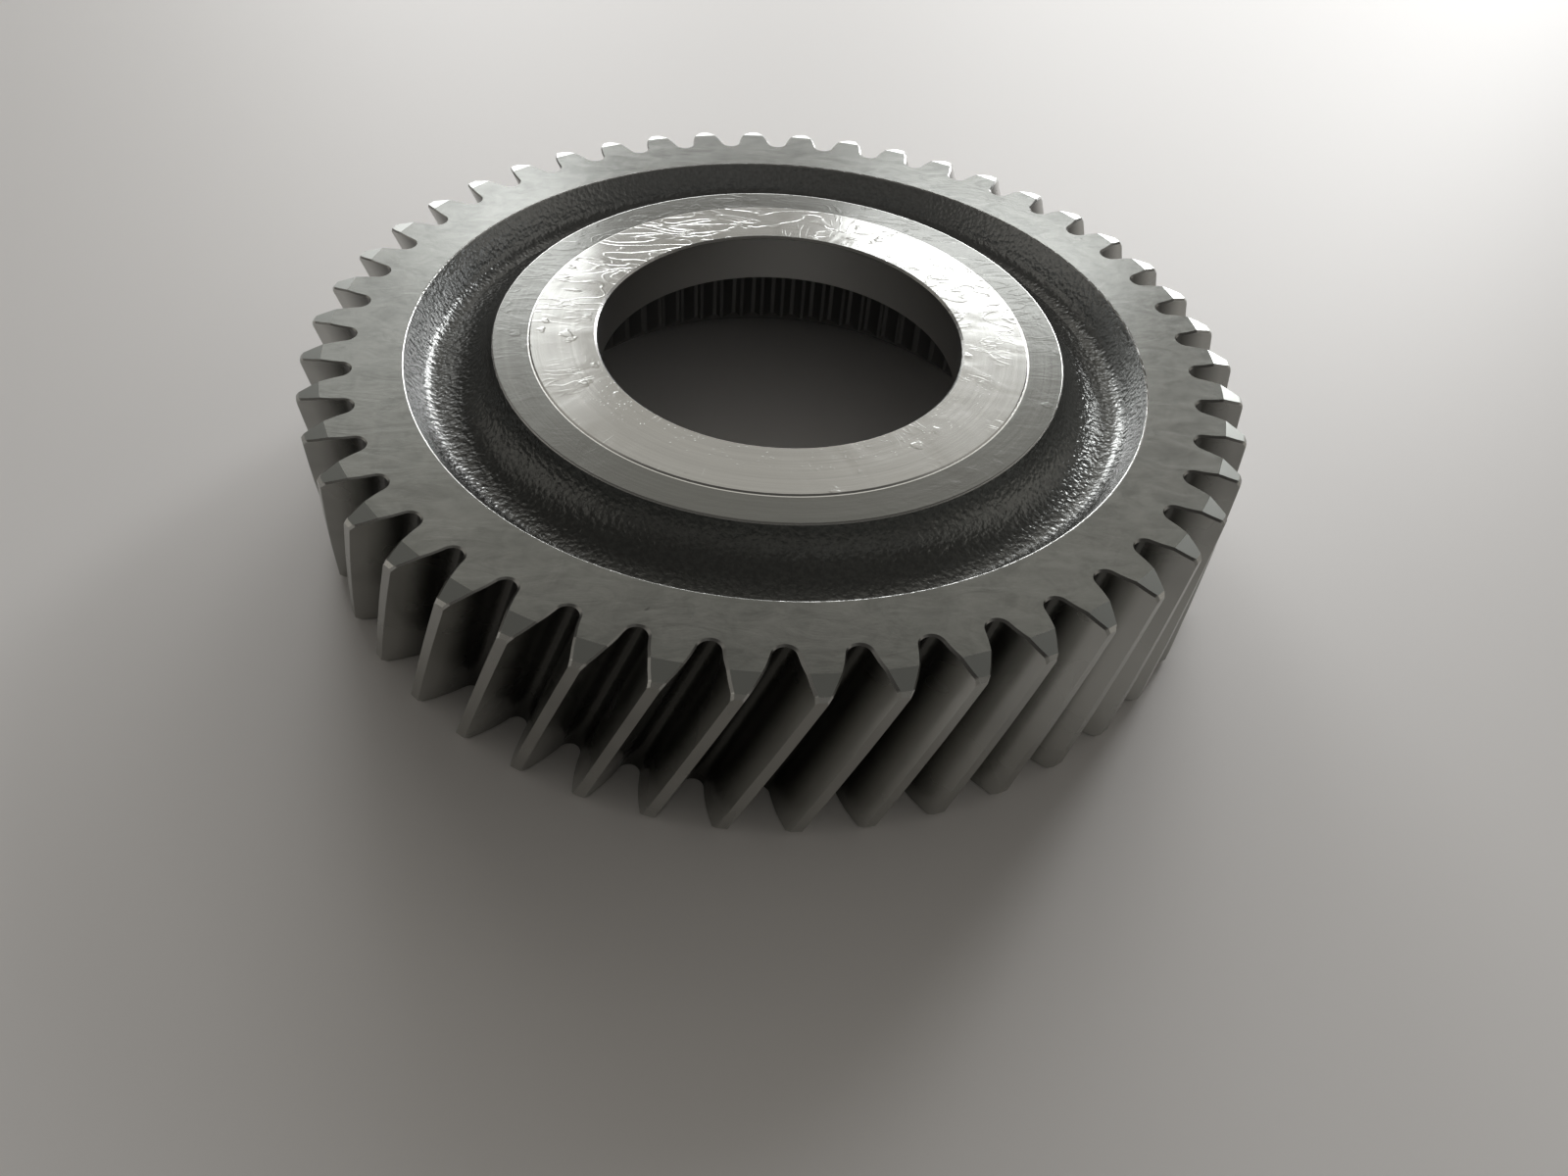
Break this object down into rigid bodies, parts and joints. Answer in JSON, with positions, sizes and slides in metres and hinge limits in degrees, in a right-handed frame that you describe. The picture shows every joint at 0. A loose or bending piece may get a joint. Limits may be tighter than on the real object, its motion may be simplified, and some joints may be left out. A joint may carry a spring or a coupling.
{
  "type": "helical gear",
  "caption": "Wide helical gear ring with a forged annular pocket, a raised ground thrust land, a plain bore and internal clutch teeth below the bore lip; carries torque in a heavy gearbox.",
  "frame": {"origin": "on the gear's axis, in the plane of the rim's lower face, on which it lies", "axes": "+Z along the axis towards the raised thrust land; a tooth centre lies on +X at the rim's upper face"},
  "size_m": [0.2106, 0.2106, 0.0437],
  "materials": {
    "steel": "case-hardened dark steel, machined and ground, shot-blasted in the forged pockets, thin film of oil"
  },
  "bodies": {
    "root": {"helical_gear": "steel"}
  },
  "joints": []
}
